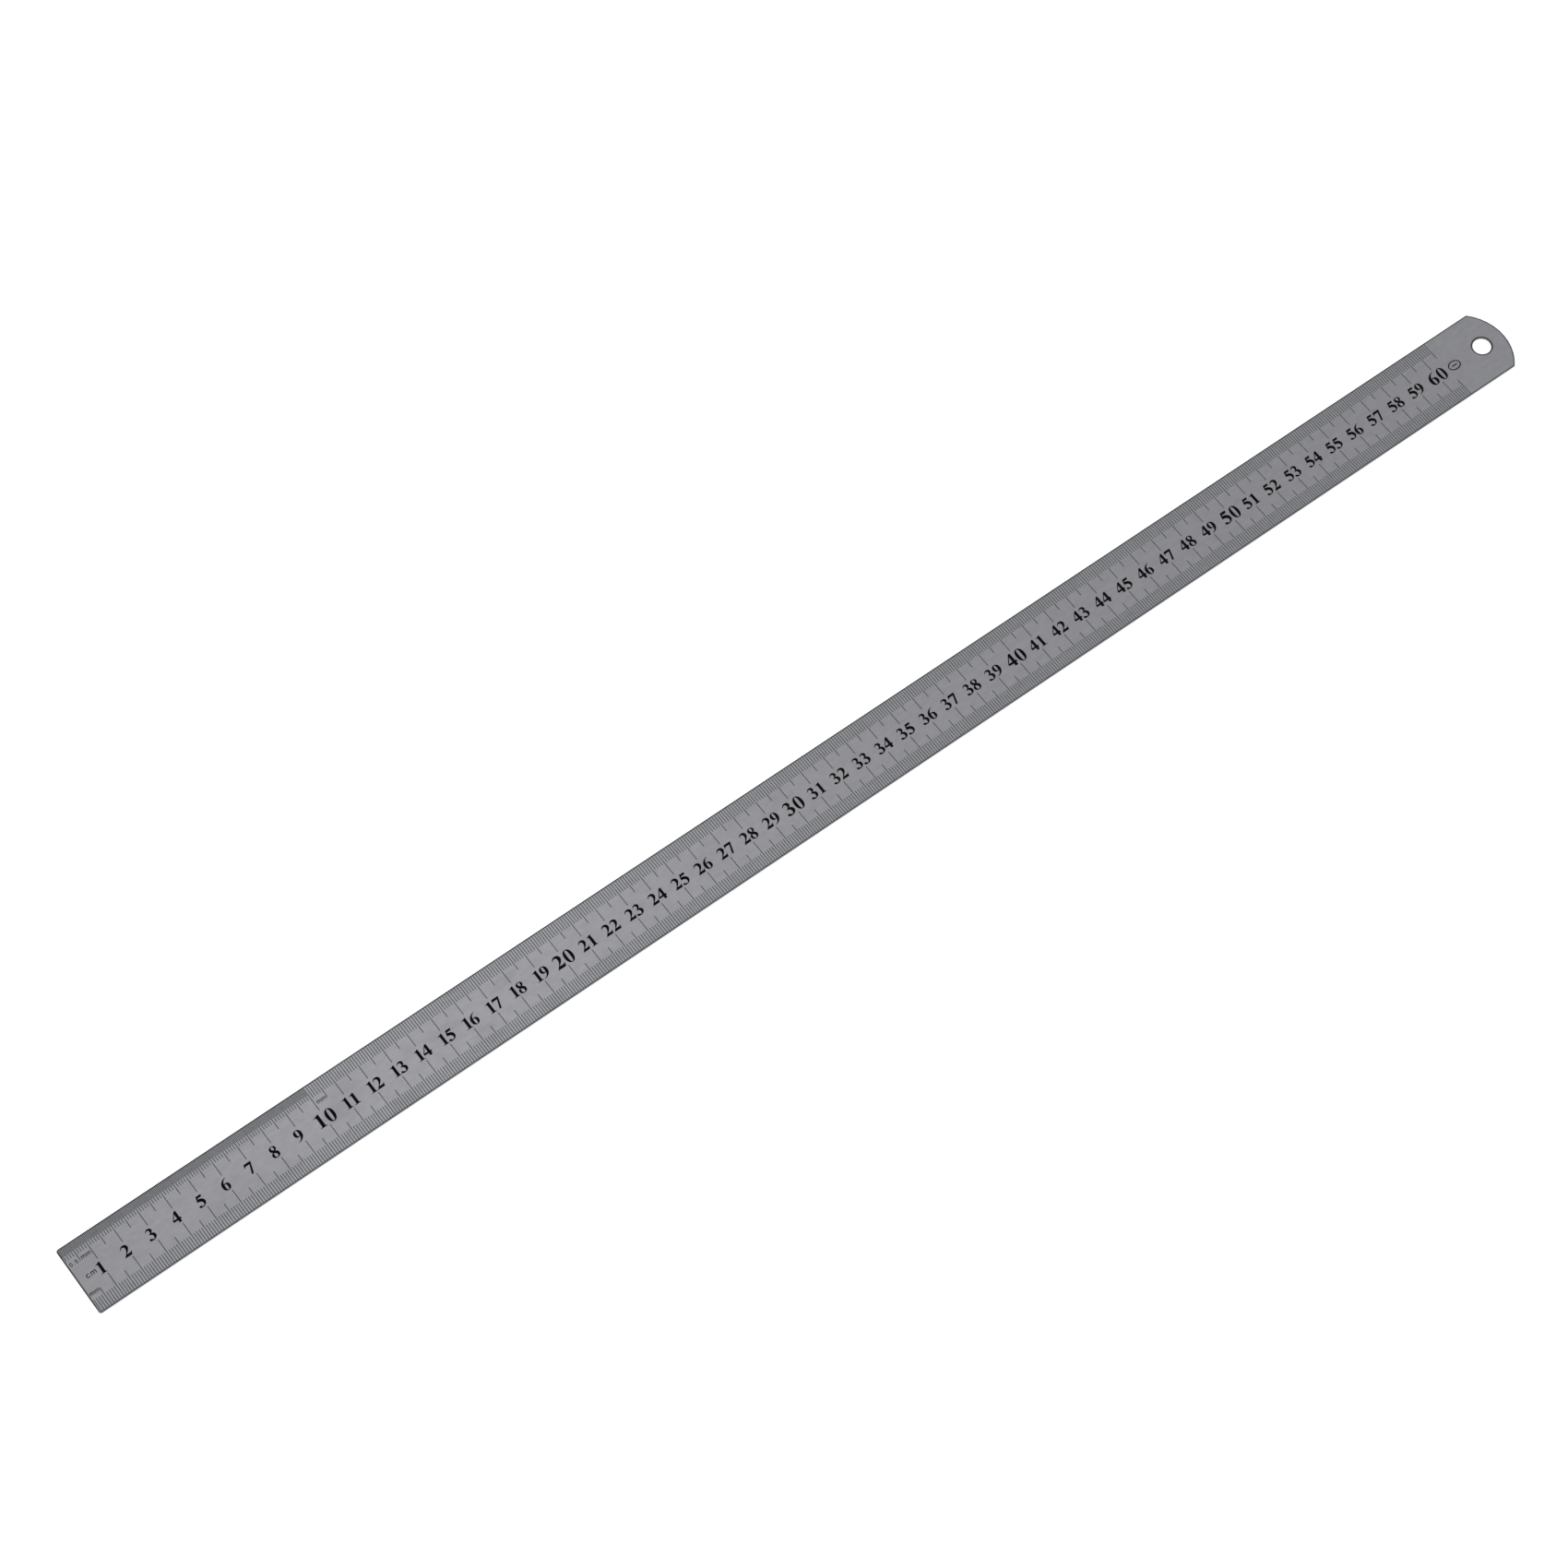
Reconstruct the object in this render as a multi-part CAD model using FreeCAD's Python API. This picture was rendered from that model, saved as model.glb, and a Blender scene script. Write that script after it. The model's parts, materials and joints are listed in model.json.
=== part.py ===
import FreeCAD, Part
import os
from FreeCAD import Vector

# A 600 mm stainless steel rule: one thin blade with a metric scale etched along both long
# edges, centimetre numerals along the middle and a hanging hole at the rounded end.
# Every etched mark is a shallow pocket in the blade, filled with black enamel.
#
# Frame, in millimetres: X runs along the blade from the square zero end (-X) to the
# rounded end (+X), Y runs across it with the half-millimetre scale on the +Y edge, and Z
# is up. The back face is Z = 0 and the graduated face is at Z = THICKNESS. X = 0 and
# Y = 0 are the middle of the overall length and width.

# Blade
LENGTH = 632.0
WIDTH = 28.0
THICKNESS = 1.0
END_RADIUS = 20.0           # arc that closes the end with the hole
ZERO_CORNER_RADIUS = 1.0
FAR_CORNER_RADIUS = 0.6
EDGE_ROUNDING = 0.25        # broken edge round both faces
HOLE_DIAMETER = 7.0
HOLE_ROUNDING = 0.35        # rolled rims of the punched hole
HOLE_TO_TIP = 9.9

# Etching
ETCH_DEPTH = 0.06
ENAMEL_RECESS = 0.01        # the dried enamel sits this far below the steel

# Scale
SCALE_END = 605             # last graduated millimetre
HALF_SCALE_END = 100        # half millimetres stop here, on the upper edge only
LINE_WIDTH = 0.24
LINE_INSET = 0.3            # the lines stop this far short of the blade's edge
HALF_LINE = 3.6             # where each kind of line ends, measured from the edge
MM_LINE = 5.4
FIVE_LINE = 8.1
CM_LINE = 10.8

# Numerals. Glyph outlines are drawn in thousandths of the letter body, baseline at 0.
BODY = 6.7                  # letter body of the ordinary numerals
TENS_BODY = 7.8             # letter body of 10, 20 ... 60
DIGIT_PITCH = 3.4
TENS_PITCH = 4.25
GLYPH_WIDTH = 500
GLYPH_HEIGHT = 676
NUMERAL_DROP = 0.28         # the row of numerals sits this far below the middle
SINGLE_SHIFT = -0.86        # 1 to 9 sit this far to the left of their line
PAIR_SHIFT = 0.79           # two digits sit to the right of their line by this, less ...
PAIR_CREEP = 0.0215         # ... this for each centimetre, so the last ones sit to its left
ONE_KERN = 0.4              # a leading 1 stands this much closer to the next digit

# Unit labels: text, start from the zero end, baseline above the lower edge, letter body
LABELS = [
    ("0.5", 1.0, WIDTH - 8.2, 2.25),
    ("mm", 5.6, WIDTH - 8.0, 2.6),
    ("cm", 3.3, WIDTH / 2 - 0.9, 3.1),
    ("mm", 0.8, 7.0, 2.6),
    ("mm", 100.8, WIDTH - 8.5, 2.6),
]

# End mark: a plain oval ring round a bar, after the last numeral
END_MARK_X = 608.3
END_MARK_HALF_LENGTH = 2.7
END_MARK_HALF_HEIGHT = 2.0
END_MARK_LINE = 0.45
END_MARK_BAR = 1.2          # half length of the bar

# A glyph is a list of closed outlines, the first being the outer one. The first entry of
# an outline is its start; after that two numbers are a straight run to (x, y), and six
# are a cubic curve: two control points and the end point. The last point joins the first.
DIGITS = {
    "0": [
        [(250, 688), (390, 688, 476, 545, 476, 338), (476, 130, 390, -13, 250, -13),
         (110, -13, 24, 130, 24, 338), (24, 545, 110, 688, 250, 688)],
        [(250, 652), (188, 652, 176, 500, 176, 338), (176, 175, 188, 23, 250, 23),
         (312, 23, 324, 175, 324, 338), (324, 500, 312, 652, 250, 652)],
    ],
    "1": [
        [(70, 0), (450, 0), (450, 24), (385, 30, 352, 48, 352, 100), (352, 688), (318, 688),
         (72, 594), (72, 566), (140, 588, 186, 584, 186, 516), (186, 100),
         (186, 48, 155, 30, 70, 24)],
    ],
    "2": [
        [(17, 0), (434, 0), (484, 216), (456, 216), (434, 164, 405, 152, 345, 152), (186, 152),
         (340, 275, 440, 385, 440, 505), (440, 612, 355, 688, 240, 688),
         (135, 688, 57, 630, 19, 508), (44, 500), (76, 560, 114, 586, 162, 586),
         (230, 586, 272, 540, 272, 460), (272, 310, 150, 165, 17, 24)],
    ],
    "3": [
        [(31, 541), (69, 640, 138, 690, 224, 690), (328, 690, 400, 628, 400, 542),
         (400, 480, 366, 432, 311, 402), (414, 362, 474, 302, 474, 212),
         (474, 75, 356, -16, 178, -16), (70, -16, 12, 20, 12, 70),
         (12, 110, 42, 136, 84, 136), (156, 136, 180, 50, 240, 50),
         (284, 50, 314, 96, 314, 162), (314, 262, 250, 320, 140, 320), (140, 352),
         (208, 370, 252, 422, 252, 498), (252, 560, 214, 600, 158, 600),
         (113, 600, 82, 577, 56, 526)],
    ],
    "4": [
        [(264, 0), (422, 0), (422, 146), (482, 146), (482, 260), (422, 260), (422, 688),
         (316, 688), (15, 252), (15, 146), (264, 146)],
        [(264, 260), (264, 528), (84, 260)],
    ],
    "5": [
        [(146, 680), (460, 680), (412, 544), (192, 544), (178, 502),
         (349, 480, 476, 395, 476, 242), (476, 88, 342, -12, 162, -12),
         (70, -12, 18, 20, 18, 70), (18, 110, 48, 134, 88, 134),
         (152, 134, 178, 50, 236, 50), (294, 50, 330, 98, 330, 166),
         (330, 278, 234, 338, 58, 348)],
    ],
    "6": [
        [(460, 688), (205, 668, 28, 495, 28, 272), (28, 98, 118, -13, 255, -13),
         (388, -13, 475, 80, 475, 212), (475, 332, 404, 412, 300, 412),
         (258, 412, 228, 402, 202, 384), (230, 526, 322, 632, 462, 664)],
        [(252, 358), (218, 358, 194, 328, 194, 235), (194, 104, 218, 24, 260, 24),
         (300, 24, 320, 78, 320, 190), (320, 300, 296, 358, 252, 358)],
    ],
    "7": [
        [(62, 680), (482, 680), (482, 655), (276, 0), (152, 0), (340, 536), (180, 536),
         (108, 536, 72, 522, 40, 458), (15, 465)],
    ],
    "8": [
        [(250, 688), (358, 688, 440, 625, 440, 534), (440, 465, 402, 418, 338, 382),
         (422, 336, 472, 275, 472, 186), (472, 66, 384, -13, 245, -13),
         (110, -13, 28, 58, 28, 162), (28, 242, 70, 298, 150, 338),
         (84, 384, 48, 438, 48, 512), (48, 616, 132, 688, 250, 688)],
        [(250, 646), (294, 646, 316, 608, 316, 548), (316, 492, 302, 456, 274, 430),
         (214, 464, 182, 508, 182, 564), (182, 616, 210, 646, 250, 646)],
        [(192, 292), (262, 254, 326, 206, 326, 128), (326, 66, 294, 30, 250, 30),
         (200, 30, 166, 78, 166, 152), (166, 206, 174, 254, 192, 292)],
    ],
    "9": [
        [(40, -13), (295, 7, 472, 180, 472, 403), (472, 577, 382, 688, 245, 688),
         (112, 688, 25, 595, 25, 463), (25, 343, 96, 263, 200, 263),
         (242, 263, 272, 273, 298, 291), (270, 149, 178, 43, 38, 11)],
        [(248, 317), (282, 317, 306, 347, 306, 440), (306, 571, 282, 651, 240, 651),
         (200, 651, 180, 597, 180, 485), (180, 375, 204, 317, 248, 317)],
    ],
}

# Thin-stroke letters of the unit labels, with the advance of each after its outlines
LIGHT = {
    "m": ([[(30, 0), (135, 0), (135, 280), (135, 405, 305, 405, 305, 280), (305, 0), (410, 0),
            (410, 280), (410, 405, 585, 405, 585, 280), (585, 0), (690, 0), (690, 330),
            (690, 500, 460, 515, 390, 405), (320, 500, 180, 490, 135, 425),
            (135, 465), (30, 465)]], 770),
    "c": ([[(410, 130), (365, 75, 325, 88, 260, 88), (172, 88, 145, 155, 145, 230),
            (145, 305, 172, 372, 260, 372), (325, 372, 358, 364, 380, 325), (462, 382),
            (420, 455, 350, 480, 260, 480), (105, 480, 30, 365, 30, 230),
            (30, 95, 105, -20, 260, -20), (370, -20, 445, 8, 495, 75)]], 600),
    "0": ([[(250, 685), (400, 685, 460, 530, 460, 340), (460, 150, 400, -5, 250, -5),
            (100, -5, 40, 150, 40, 340), (40, 530, 100, 685, 250, 685)],
           [(250, 580), (190, 580, 148, 495, 148, 340), (148, 185, 190, 100, 250, 100),
            (310, 100, 352, 185, 352, 340), (352, 495, 310, 580, 250, 580)]], 700),
    ".": ([[(10, -5), (125, -5), (125, 110), (10, 110)]], 260),
    "5": ([[(85, 685), (415, 685), (415, 580), (182, 580), (172, 475),
            (345, 495, 440, 375, 440, 230), (440, 80, 355, -15, 220, -15),
            (115, -15, 50, 40, 32, 125), (118, 155), (132, 110, 165, 95, 220, 95),
            (288, 95, 330, 145, 330, 230), (330, 335, 235, 375, 135, 328), (50, 350)]], 500),
}

TO_MIDDLE = Vector(-LENGTH / 2, -WIDTH / 2, THICKNESS - ETCH_DEPTH)


def outline(steps, origin, scale):
    """Closed wire of one glyph outline, placed at origin in the plane of the pocket floors."""
    def place(x, y):
        return TO_MIDDLE + origin + Vector(x, y, 0) * scale

    start = here = place(*steps[0])
    edges = []
    for step in steps[1:]:
        points = [here] + [place(x, y) for x, y in zip(step[::2], step[1::2])]
        here = points[-1]
        if len(points) == 2:
            edges.append(Part.makeLine(*points))
        else:
            curve = Part.BezierCurve()
            curve.setPoles(points)
            edges.append(curve.toShape())
    if here.distanceToPoint(start) > 1e-6:
        edges.append(Part.makeLine(here, start))
    return Part.Wire(edges)


def glyph(outlines, origin, scale):
    """Flat face of one letter or digit."""
    wires = [outline(steps, origin, scale) for steps in outlines]
    return Part.makeFace(wires, "Part::FaceMakerBullseye")


def rule_line(x, length, upper):
    """Flat face of one line of the scale, x from the zero end, length from the edge."""
    low, high = LINE_INSET, length
    if upper:
        low, high = WIDTH - length, WIDTH - LINE_INSET
    left, right = x - LINE_WIDTH / 2, x + LINE_WIDTH / 2
    corners = [(left, low), (right, low), (right, high), (left, high)]
    return glyph([corners], Vector(), 1.0)


def half_millimetre_lines():
    return [rule_line(mm + 0.5, HALF_LINE, True) for mm in range(HALF_SCALE_END)]


def millimetre_lines(upper):
    return [rule_line(mm, MM_LINE, upper) for mm in range(1, SCALE_END) if mm % 5]


def five_millimetre_lines(upper):
    return [rule_line(mm, FIVE_LINE, upper) for mm in range(5, SCALE_END + 1, 10)]


def centimetre_lines(upper):
    return [rule_line(mm, CM_LINE, upper) for mm in range(10, SCALE_END, 10)]


def numeral(number, body, pitch, shift):
    """Digit faces of one numeral, shift to the right of its centimetre line."""
    text = str(number)
    scale = body / 1000
    first = number * 10 + shift - pitch * (len(text) - 1) / 2 - GLYPH_WIDTH * scale / 2
    baseline = (WIDTH - GLYPH_HEIGHT * scale) / 2 - NUMERAL_DROP
    return [glyph(DIGITS[digit], Vector(first + i * pitch, baseline, 0), scale)
            for i, digit in enumerate(text)]


def centimetre_numerals():
    """1 to 59 without the tens."""
    faces = []
    for number in range(1, 10):
        faces += numeral(number, BODY, DIGIT_PITCH, SINGLE_SHIFT)
    for number in range(11, SCALE_END // 10):
        if number % 10:
            pitch = DIGIT_PITCH - ONE_KERN if number < 20 else DIGIT_PITCH
            faces += numeral(number, BODY, pitch, PAIR_SHIFT - PAIR_CREEP * number)
    return faces


def ten_centimetre_numerals():
    faces = []
    for number in range(10, SCALE_END // 10 + 1, 10):
        faces += numeral(number, TENS_BODY, TENS_PITCH, 0.0)
    return faces


def unit_labels():
    faces = []
    for text, x, baseline, body in LABELS:
        for letter in text:
            outlines, advance = LIGHT[letter]
            faces.append(glyph(outlines, Vector(x, baseline, 0), body / 1000))
            x += advance * body / 1000
    return faces


def oval(half_length, half_height, centre):
    ellipse = Part.Ellipse(TO_MIDDLE + centre, half_length, half_height)
    return Part.Wire(ellipse.toShape())


def end_mark():
    centre = Vector(END_MARK_X, WIDTH / 2 - NUMERAL_DROP, 0)
    outer = oval(END_MARK_HALF_LENGTH, END_MARK_HALF_HEIGHT, centre)
    inner = oval(END_MARK_HALF_LENGTH - END_MARK_LINE, END_MARK_HALF_HEIGHT - END_MARK_LINE,
                 centre)
    ring = Part.makeFace([outer, inner], "Part::FaceMakerBullseye")
    x, y = END_MARK_BAR, END_MARK_LINE / 2
    bar = glyph([[(-x, -y), (x, -y), (x, y), (-x, y)]], centre, 1.0)
    return [ring, bar]


def blank():
    """Blade before etching: square zero end, arc and hole at the other, all edges broken."""
    tip, side = LENGTH / 2, WIDTH / 2
    arc_start = tip - END_RADIUS + (END_RADIUS ** 2 - side ** 2) ** 0.5
    arc = Part.Arc(Vector(arc_start, -side, 0), Vector(tip, 0, 0), Vector(arc_start, side, 0))
    sides = Part.makePolygon([Vector(arc_start, side, 0), Vector(-tip, side, 0),
                              Vector(-tip, -side, 0), Vector(arc_start, -side, 0)])
    face = Part.Face(Part.Wire([arc.toShape()] + sides.Edges))
    body = face.extrude(Vector(0, 0, THICKNESS))
    upright = [edge for edge in body.Edges if edge.BoundBox.ZLength > THICKNESS / 2]
    at_zero = [edge for edge in upright if edge.CenterOfMass.x < 0]
    body = body.makeFillet(ZERO_CORNER_RADIUS, at_zero)
    upright = [edge for edge in body.Edges if edge.BoundBox.ZLength > THICKNESS / 2]
    at_arc = [edge for edge in upright if abs(edge.CenterOfMass.x - arc_start) < 0.1]
    body = body.makeFillet(FAR_CORNER_RADIUS, at_arc)
    hole_centre = Vector(tip - HOLE_TO_TIP, 0, 0)
    body = body.cut(Part.makeCylinder(HOLE_DIAMETER / 2, THICKNESS, hole_centre))
    rims = [edge for edge in body.Edges if edge.BoundBox.ZLength < THICKNESS / 2]
    at_hole = [edge for edge in rims if edge.Length < 4 * HOLE_DIAMETER
               and edge.CenterOfMass.distanceToPoint(hole_centre) <= THICKNESS]
    body = body.makeFillet(HOLE_ROUNDING, at_hole)
    rims = [edge for edge in body.Edges if edge.BoundBox.ZLength < THICKNESS / 2
            and edge.CenterOfMass.distanceToPoint(hole_centre) > THICKNESS]
    return body.makeFillet(EDGE_ROUNDING, rims)


def blade(marks):
    """Blank with one etched pocket above every flat mark face."""
    pockets = [face.extrude(Vector(0, 0, THICKNESS)) for face in marks]
    return blank().cut(Part.makeCompound(pockets))


def enamel(marks):
    """Enamel standing in the pockets of one kind of mark."""
    depth = Vector(0, 0, ETCH_DEPTH - ENAMEL_RECESS)
    return Part.makeCompound([face.extrude(depth) for face in marks])


marks = {
    "upper_half_millimetre_lines": half_millimetre_lines(),
    "upper_millimetre_lines": millimetre_lines(True),
    "upper_five_millimetre_lines": five_millimetre_lines(True),
    "upper_centimetre_lines": centimetre_lines(True),
    "lower_millimetre_lines": millimetre_lines(False),
    "lower_five_millimetre_lines": five_millimetre_lines(False),
    "lower_centimetre_lines": centimetre_lines(False),
    "centimetre_numerals": centimetre_numerals(),
    "ten_centimetre_numerals": ten_centimetre_numerals(),
    "unit_labels": unit_labels(),
    "end_mark": end_mark(),
}

os.makedirs("parts", exist_ok=True)
blade([face for faces in marks.values() for face in faces]).exportStep("parts/blade.step")
for node, faces in marks.items():
    enamel(faces).exportStep(f"parts/{node}.step")
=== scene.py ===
import bpy
import json
import math
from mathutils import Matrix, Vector


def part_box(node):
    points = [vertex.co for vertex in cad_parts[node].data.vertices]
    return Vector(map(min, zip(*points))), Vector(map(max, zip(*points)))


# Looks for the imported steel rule: a satin stainless blade with black enamel in its etched
# marks. Metres, in the rule's own frame: +X from the zero end to the hole end, +Y towards
# the half-millimetre scale, +Z out of the graduated face.

MM = 0.001

# Steel. Each pair of colours is what the grain and the mottling vary between.
STEEL_DARK, STEEL_LIGHT = (0.440, 0.437, 0.468, 1), (0.680, 0.675, 0.718, 1)
PICKLED_DARK, PICKLED_LIGHT = (0.431, 0.443, 0.468, 1), (0.667, 0.684, 0.718, 1)
BAND_START = 8.0 * MM           # half width of the plain middle, inside the pickled bands
BAND_FADE = 0.8 * MM
END_RADIUS = 20.0 * MM          # arc of the end with the hole

# Ground rims painted with dark reflection and shade: the thin side walls, and the margin of each
# face beside them, whose painted shade is lighter along the lower edge
WALL_SHADE_DARK, WALL_SHADE_LIGHT = (0.44, 0.44, 0.452, 1), (0.62, 0.62, 0.635, 1)
MARGIN_SHADE_DARK, MARGIN_SHADE_LIGHT = (0.07, 0.07, 0.073, 1), (0.15, 0.15, 0.156, 1)
LOWER_MARGIN_SHADE_DARK, LOWER_MARGIN_SHADE_LIGHT = (0.14, 0.14, 0.147, 1), (0.27, 0.27, 0.281, 1)
LOWER_START, LOWER_FULL = -10.0 * MM, -12.0 * MM    # Y over which the lower margin begins
RIM_WIDTH, RIM_FULL = 0.70 * MM, 0.36 * MM          # the rim's painted dark reflection fades out between these
RIM_WOBBLE = 0.08 * MM
HOLE_RIM_EXTRA = 0.15 * MM      # the painted dark band at the hole's rolled rim is this much wider
SCRATCHES = ((0, 0.735), (17, 0.745), (-31, 0.75), (64, 0.755))     # degrees, threshold

# Enamel: fresh and rubbed. The short lines hold a thinner, greyer film.
LINE_BLACK, LINE_WORN = (0.006, 0.006, 0.008), (0.024, 0.024, 0.027)
SHORT_BLACK, SHORT_WORN = (0.045, 0.045, 0.047), (0.110, 0.110, 0.113)
NUMERAL_BLACK, NUMERAL_WORN = (0.002, 0.002, 0.003), (0.008, 0.008, 0.010)

# Studio
FLOOR_SIZE = 12.0
FLOOR_DROP = 0.02 * MM          # keeps the table's surface clear of the blade's back face
TABLE_GLOW = 0.75
SKY_STRENGTH = 0.435
SOFTBOX_PLACE, SOFTBOX_AIM = (0.17, 0.76, 1.8), (-0.1, 0.0, 0.0)
SOFTBOX_SIDE = 0.4
SOFTBOX_POWER = 0.5
CAMERA_PLACE = (-0.42150, -0.55343, 1.35646)
CAMERA_TURN = (27.1293, 0.3443, -36.6370)           # degrees about X, Y and Z
CAMERA_LENS = 98.285

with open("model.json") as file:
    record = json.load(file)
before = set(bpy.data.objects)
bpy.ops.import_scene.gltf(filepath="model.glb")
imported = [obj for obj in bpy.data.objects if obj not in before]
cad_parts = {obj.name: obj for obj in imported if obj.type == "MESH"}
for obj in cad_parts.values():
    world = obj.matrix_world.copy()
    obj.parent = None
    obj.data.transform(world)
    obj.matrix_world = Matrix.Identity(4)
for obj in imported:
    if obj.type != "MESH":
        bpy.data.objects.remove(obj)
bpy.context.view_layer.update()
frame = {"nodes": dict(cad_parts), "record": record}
blade_low, blade_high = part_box("blade")
hole = next(m for m in frame["record"]["mounts"] if m["name"] == "hang_hole")


class Nodes:
    """Short way to build a node tree: each call adds one node and links its inputs."""

    def __init__(self, name):
        self.material = bpy.data.materials.new(name)
        self.material.use_nodes = True
        self.tree = self.material.node_tree
        self.tree.nodes.clear()

    def add(self, kind, inputs=None, **settings):
        node = self.tree.nodes.new(kind)
        for key, value in settings.items():
            setattr(node, key, value)
        for key, value in (inputs or {}).items():
            if isinstance(value, bpy.types.NodeSocket):
                self.tree.links.new(value, node.inputs[key])
            else:
                node.inputs[key].default_value = value
        return node

    def math(self, operation, *values, clamp=False):
        node = self.add("ShaderNodeMath", dict(enumerate(values)), operation=operation)
        node.use_clamp = clamp
        return node.outputs[0]

    def blend(self, factor, low, high):
        """Number between low and high."""
        return self.add("ShaderNodeMapRange", {
            "Value": factor, "To Min": low, "To Max": high}).outputs[0]

    def step(self, value, start, end):
        """0 below start, 1 above end, smooth between; start may be the larger one."""
        return self.add("ShaderNodeMapRange", {
            "Value": value, "From Min": start, "From Max": end},
            interpolation_type="SMOOTHSTEP").outputs[0]

    def position(self, scale):
        place = self.add("ShaderNodeTexCoord").outputs["Object"]
        return self.add("ShaderNodeMapping", {"Vector": place, "Scale": scale}).outputs[0]

    def noise(self, scale, detail=2.0, rough=0.5):
        """Noise in cycles per metre along X, Y and Z."""
        return self.add("ShaderNodeTexNoise", {
            "Vector": self.position(scale), "Scale": 1.0, "Detail": detail,
            "Roughness": rough}).outputs["Fac"]

    def finish(self, shader):
        self.add("ShaderNodeOutputMaterial", {"Surface": shader.outputs[0]})
        return self.material


def mix_colour(nodes, factor, low, high):
    """Colour between two colours, either of which may be a constant or a socket."""
    node = nodes.add("ShaderNodeMix", data_type="RGBA")
    for socket, value in ((0, factor), (6, low), (7, high)):
        if isinstance(value, bpy.types.NodeSocket):
            nodes.tree.links.new(value, node.inputs[socket])
        else:
            node.inputs[socket].default_value = value
    return node.outputs[2]


def edge_distance(nodes):
    """Distance in metres from the blade's nearest rim: long edges, both ends and the hole."""
    place = nodes.add("ShaderNodeSeparateXYZ", {
        "Vector": nodes.add("ShaderNodeTexCoord").outputs["Object"]})
    x, y = place.outputs["X"], place.outputs["Y"]
    side = nodes.math("SUBTRACT", blade_high.y, nodes.math("ABSOLUTE", y))
    zero_end = nodes.math("SUBTRACT", x, blade_low.x)

    def radius_from(centre_x):
        dx = nodes.math("SUBTRACT", x, centre_x)
        squares = nodes.math("ADD", nodes.math("MULTIPLY", dx, dx), nodes.math("MULTIPLY", y, y))
        return nodes.math("SQRT", squares)

    # The arc counts only past its own centre: a whole metre is added before that
    arc_centre = blade_high.x - END_RADIUS
    beyond = nodes.math("GREATER_THAN", x, arc_centre)
    to_arc = nodes.math("SUBTRACT", END_RADIUS, radius_from(arc_centre))
    arc = nodes.math("ADD", to_arc, nodes.math("SUBTRACT", 1.0, beyond))
    rim = nodes.math("SUBTRACT", radius_from(hole["pos_m"][0]), hole["dims"]["r_mm"] * MM)
    rim = nodes.math("SUBTRACT", rim, HOLE_RIM_EXTRA)
    nearest = nodes.math("MINIMUM", side, zero_end)
    nearest = nodes.math("MINIMUM", nearest, arc)
    return nodes.math("MINIMUM", nearest, rim)


def across_blade(nodes):
    """Distance in metres from the blade's centre line, positive towards the upper scale."""
    place = nodes.add("ShaderNodeTexCoord").outputs["Object"]
    return nodes.add("ShaderNodeSeparateXYZ", {"Vector": place}).outputs["Y"]


def ruled_bands(nodes):
    """1 in the two outer bands that the acid was brushed over, 0 along the middle."""
    off_centre = nodes.math("ABSOLUTE", across_blade(nodes))
    return nodes.step(off_centre, BAND_START, BAND_START + BAND_FADE)


def fine_scratches(nodes, angle, threshold):
    """Sparse hairlines at an angle to the blade: 1 in a scratch, 0 elsewhere. A higher
    threshold leaves fewer of them, and they come in patches."""
    place = nodes.add("ShaderNodeTexCoord").outputs["Object"]
    turned = nodes.add("ShaderNodeMapping", {
        "Vector": place, "Rotation": (0, 0, math.radians(angle))}).outputs[0]
    stretched = nodes.add("ShaderNodeMapping", {"Vector": turned, "Scale": (30, 2600, 200)})
    lines = nodes.add("ShaderNodeTexNoise", {
        "Vector": stretched.outputs[0], "Scale": 1.0, "Detail": 0.0}).outputs["Fac"]
    patches = nodes.add("ShaderNodeTexNoise", {
        "Vector": turned, "Scale": 130.0, "Detail": 1.0}).outputs["Fac"]
    line = nodes.step(lines, threshold, threshold + 0.025)
    return nodes.math("MULTIPLY", line, nodes.step(patches, 0.5, 0.66))


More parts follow.
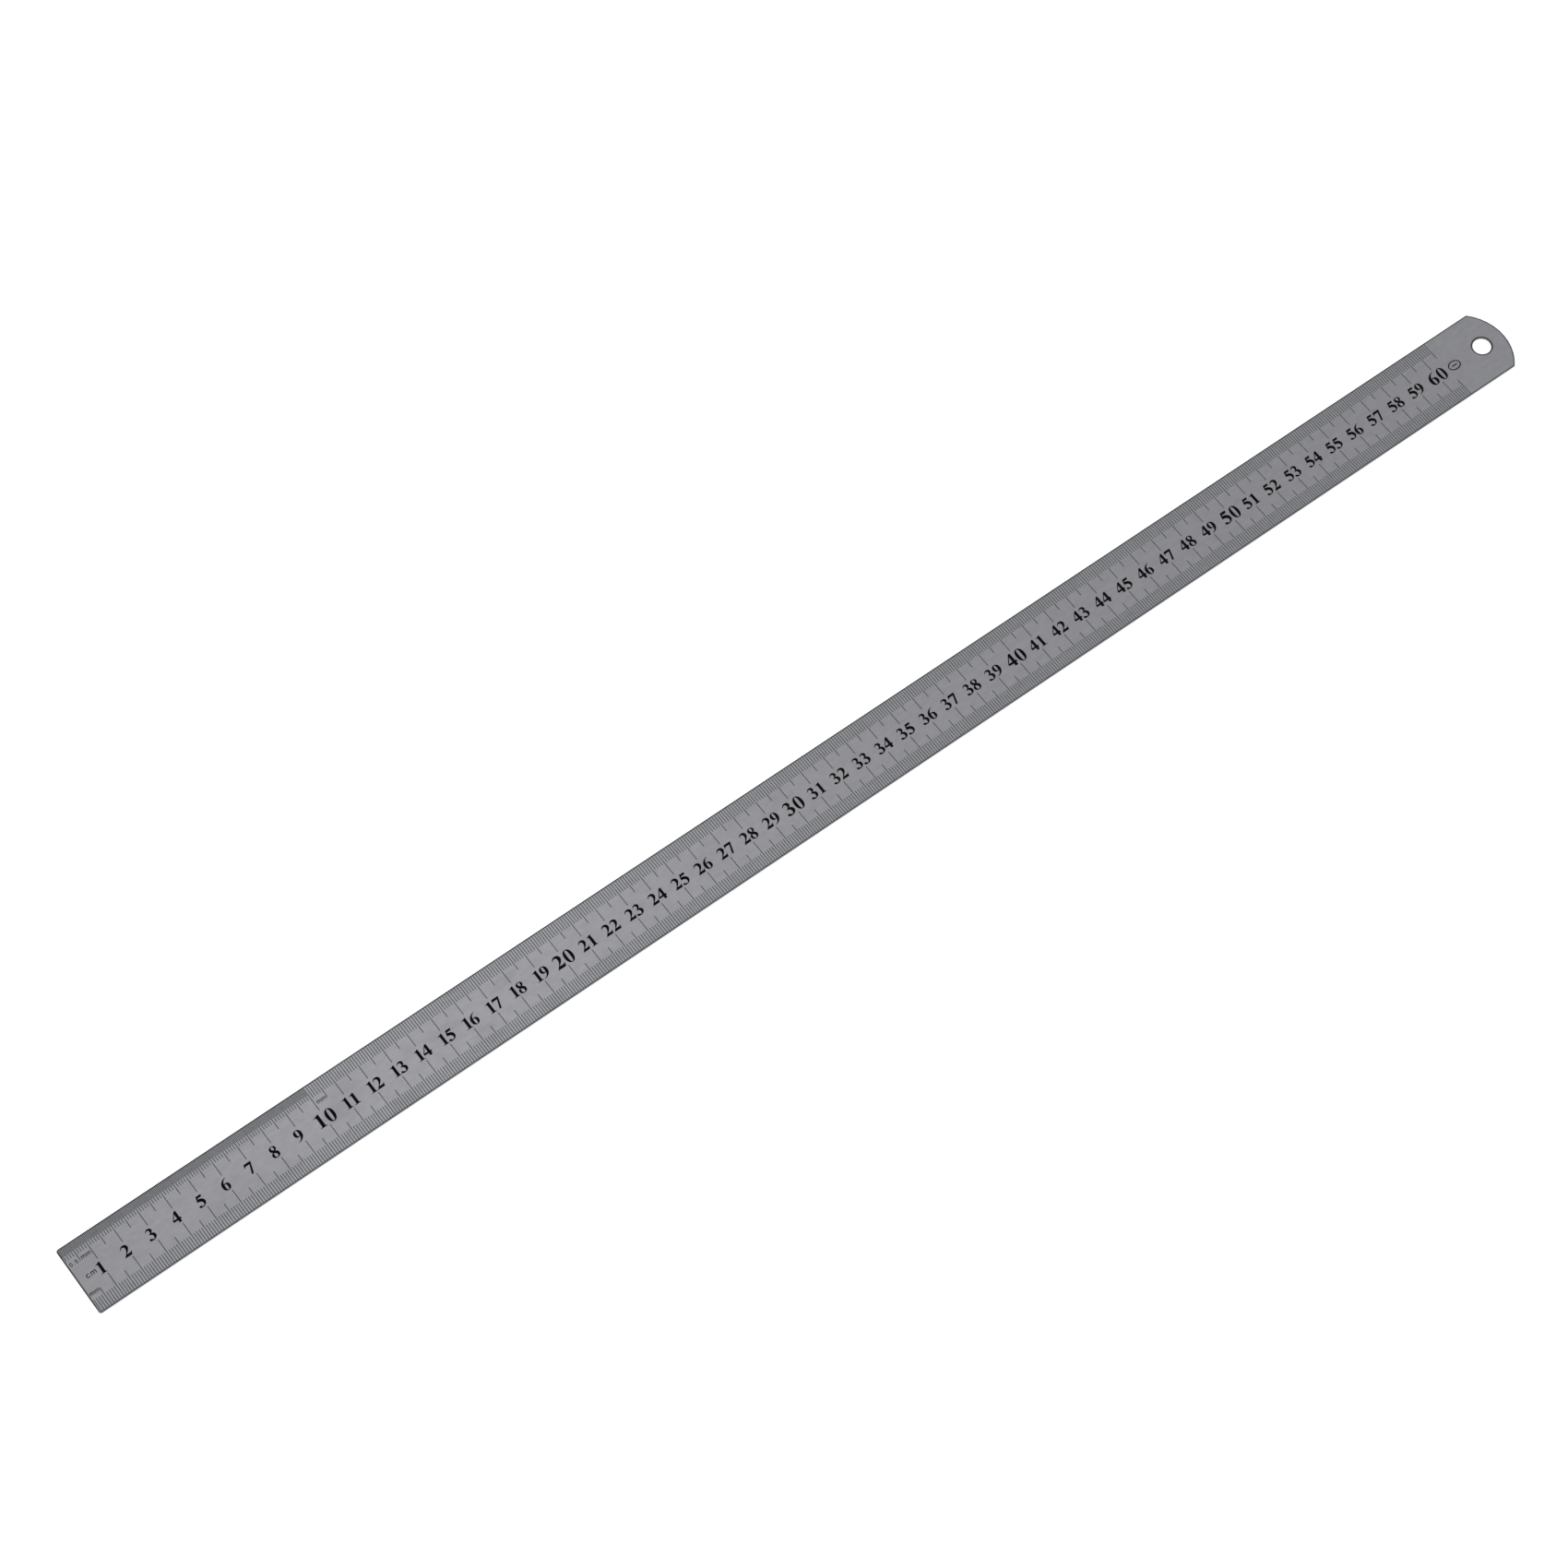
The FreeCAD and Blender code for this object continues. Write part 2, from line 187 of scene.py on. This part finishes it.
def satin_steel():
    """Rolled and lightly brushed stainless strip, with ground rims that carry painted dark
    reflection and shade.
    """
    nodes = Nodes("satin_steel")

    # Marks of rolling and handling
    grain = nodes.noise((60, 9000, 9000), 3.0, 0.6)
    streaks = nodes.noise((9, 900, 900), 2.0, 0.5)
    cloud = nodes.noise((28, 60, 60), 3.0, 0.55)
    mottle = nodes.noise((350, 600, 600), 2.0, 0.5)
    smudge = nodes.step(nodes.noise((45, 90, 90), 2.0, 0.45), 0.52, 0.68)
    specks = nodes.step(nodes.noise((1500, 1500, 1500), 1.0), 0.74, 0.80)

    scratch = 0.0
    for angle, threshold in SCRATCHES:
        scratch = nodes.math("MAXIMUM", scratch, fine_scratches(nodes, angle, threshold))

    wobble = nodes.blend(nodes.noise((900, 900, 900)), -RIM_WOBBLE, RIM_WOBBLE)
    # Rim band: painted dark reflection in its colour, with a rougher finish and ground relief
    edge = nodes.step(nodes.math("ADD", edge_distance(nodes), wobble), RIM_WIDTH, RIM_FULL)
    grinding = nodes.noise((5000, 5000, 150), 2.0, 0.6)

    # Colour of the faces
    tone = nodes.blend(streaks, -0.06, 0.06)
    tone = nodes.math("ADD", tone, nodes.blend(cloud, -0.06, 0.06))
    tone = nodes.math("ADD", tone, nodes.blend(mottle, -0.26, 0.26))
    tone = nodes.math("ADD", tone, nodes.blend(grain, -0.30, 0.30))
    tone = nodes.math("SUBTRACT", tone, nodes.math("MULTIPLY", specks, 0.25))
    tone = nodes.math("ADD", tone, nodes.math("MULTIPLY", scratch, 0.08))
    tone = nodes.math("ADD", tone, 0.5, clamp=True)
    plain = mix_colour(nodes, tone, STEEL_DARK, STEEL_LIGHT)
    pickled = mix_colour(nodes, tone, PICKLED_DARK, PICKLED_LIGHT)
    face = mix_colour(nodes, ruled_bands(nodes), plain, pickled)

    # Painted dark reflection and shade on the rims: the side walls stand up, and the margins lie
    # flat and are painted lighter along the lower edge
    wall_shade = mix_colour(nodes, grinding, WALL_SHADE_DARK, WALL_SHADE_LIGHT)
    margin_shade = mix_colour(nodes, grinding, MARGIN_SHADE_DARK, MARGIN_SHADE_LIGHT)
    lower_margin_shade = mix_colour(nodes, grinding, LOWER_MARGIN_SHADE_DARK, LOWER_MARGIN_SHADE_LIGHT)
    lower = nodes.step(across_blade(nodes), LOWER_START, LOWER_FULL)
    margin_shade = mix_colour(nodes, lower, margin_shade, lower_margin_shade)
    normal = nodes.add("ShaderNodeSeparateXYZ", {
        "Vector": nodes.add("ShaderNodeTexCoord").outputs["Normal"]}).outputs["Z"]
    lying = nodes.step(nodes.math("ABSOLUTE", normal), 0.3, 0.7)
    # The rim band takes the painted dark reflection in place of the face colour
    base = mix_colour(nodes, edge, face, mix_colour(nodes, lying, wall_shade, margin_shade))

    rough = nodes.blend(cloud, 0.33, 0.39)
    rough = nodes.math("ADD", rough, nodes.blend(grain, -0.05, 0.05))
    rough = nodes.math("ADD", rough, nodes.math("MULTIPLY", smudge, 0.035))
    rough = nodes.math("SUBTRACT", rough, nodes.math("MULTIPLY", scratch, 0.03))
    rough = nodes.math("ADD", rough, nodes.math("MULTIPLY", edge, 0.10))

    relief = nodes.math("ADD", grain, nodes.math("MULTIPLY", scratch, -0.2))
    relief = nodes.math("ADD", relief, nodes.math("MULTIPLY", edge, grinding))
    bump = nodes.add("ShaderNodeBump", {
        "Strength": 0.4, "Distance": 0.004 * MM, "Height": relief})
    shader = nodes.add("ShaderNodeBsdfPrincipled", {
        "Base Color": base, "Metallic": 1.0, "Roughness": rough,
        "Normal": bump.outputs["Normal"]})
    return nodes.finish(shader)


def black_enamel(name, dark, worn):
    """Baked enamel: near black, a little uneven, with pinholes and rubbed patches."""
    nodes = Nodes(name)
    mottle = nodes.noise((900, 900, 900), 3.0, 0.6)
    rubbed = nodes.step(nodes.noise((70, 160, 160), 2.0), 0.5, 0.75)
    pinholes = nodes.step(nodes.noise((5200, 5200, 5200), 0.0), 0.74, 0.8)
    amount = nodes.math("ADD", nodes.math("MULTIPLY", rubbed, 0.6),
                        nodes.math("MULTIPLY", mottle, 0.4), clamp=True)
    base = mix_colour(nodes, amount, (*dark, 1), (*worn, 1))
    rough = nodes.blend(mottle, 0.42, 0.62)
    height = nodes.math("SUBTRACT", mottle, pinholes)
    bump = nodes.add("ShaderNodeBump", {
        "Strength": 0.3, "Distance": 0.01 * MM, "Height": height})
    shader = nodes.add("ShaderNodeBsdfPrincipled", {
        "Base Color": base, "Roughness": rough, "Specular IOR Level": 0.08,
        "Normal": bump.outputs["Normal"]})
    return nodes.finish(shader)


def floor_sheet():
    """White acrylic of a light table: bright enough that the blade casts no shadow on it."""
    nodes = Nodes("floor_sheet")
    grain = nodes.noise((400, 400, 400), 4.0, 0.6)
    base = mix_colour(nodes, grain, (0.88, 0.88, 0.88, 1), (0.92, 0.92, 0.92, 1))
    bump = nodes.add("ShaderNodeBump", {
        "Strength": 0.05, "Distance": 0.05 * MM, "Height": grain})
    shader = nodes.add("ShaderNodeBsdfPrincipled", {
        "Base Color": base, "Roughness": 0.9, "Specular IOR Level": 0.1,
        "Emission Color": (1, 1, 1, 1), "Emission Strength": TABLE_GLOW,
        "Normal": bump.outputs["Normal"]})
    return nodes.finish(shader)


def paint(names, material):
    for name in names:
        mesh = frame["nodes"][name].data
        mesh.materials.clear()
        mesh.materials.append(material)


long_lines = ["lower_centimetre_lines", "lower_five_millimetre_lines",
              "upper_centimetre_lines", "upper_five_millimetre_lines"]
short_lines = ["lower_millimetre_lines", "upper_millimetre_lines", "upper_half_millimetre_lines"]
letters = ["centimetre_numerals", "ten_centimetre_numerals", "unit_labels", "end_mark"]
paint(["blade"], satin_steel())
paint(long_lines, black_enamel("line_enamel", LINE_BLACK, LINE_WORN))
paint(short_lines, black_enamel("thin_line_enamel", SHORT_BLACK, SHORT_WORN))
paint(letters, black_enamel("numeral_enamel", NUMERAL_BLACK, NUMERAL_WORN))


def floor():
    half = FLOOR_SIZE / 2
    mesh = bpy.data.meshes.new("floor")
    corners = [(-half, -half), (half, -half), (half, half), (-half, half)]
    mesh.from_pydata([(x, y, blade_low.z - FLOOR_DROP) for x, y in corners], [], [(0, 1, 2, 3)])
    mesh.materials.append(floor_sheet())
    plane = bpy.data.objects.new("floor", mesh)
    bpy.context.scene.collection.objects.link(plane)


def softbox():
    light = bpy.data.lights.new("softbox", "AREA")
    light.shape = "SQUARE"
    light.size = SOFTBOX_SIDE
    light.energy = SOFTBOX_POWER
    lamp = bpy.data.objects.new("softbox", light)
    lamp.location = SOFTBOX_PLACE
    aim = Vector(SOFTBOX_AIM) - Vector(SOFTBOX_PLACE)
    lamp.rotation_euler = aim.to_track_quat("-Z", "Y").to_euler()
    bpy.context.scene.collection.objects.link(lamp)


def sky():
    world = bpy.data.worlds.new("studio")
    world.use_nodes = True
    background = world.node_tree.nodes["Background"]
    background.inputs["Color"].default_value = (1, 1, 1, 1)
    background.inputs["Strength"].default_value = SKY_STRENGTH
    bpy.context.scene.world = world


def camera():
    view = bpy.data.cameras.new("camera")
    view.sensor_width = 36.0
    view.lens = CAMERA_LENS
    view.clip_start, view.clip_end = 0.05, 50.0
    eye = bpy.data.objects.new("camera", view)
    eye.location = CAMERA_PLACE
    eye.rotation_euler = [math.radians(angle) for angle in CAMERA_TURN]
    bpy.context.scene.collection.objects.link(eye)
    bpy.context.scene.camera = eye


floor()
sky()
softbox()
camera()
bpy.context.scene.view_settings.view_transform = "Standard"
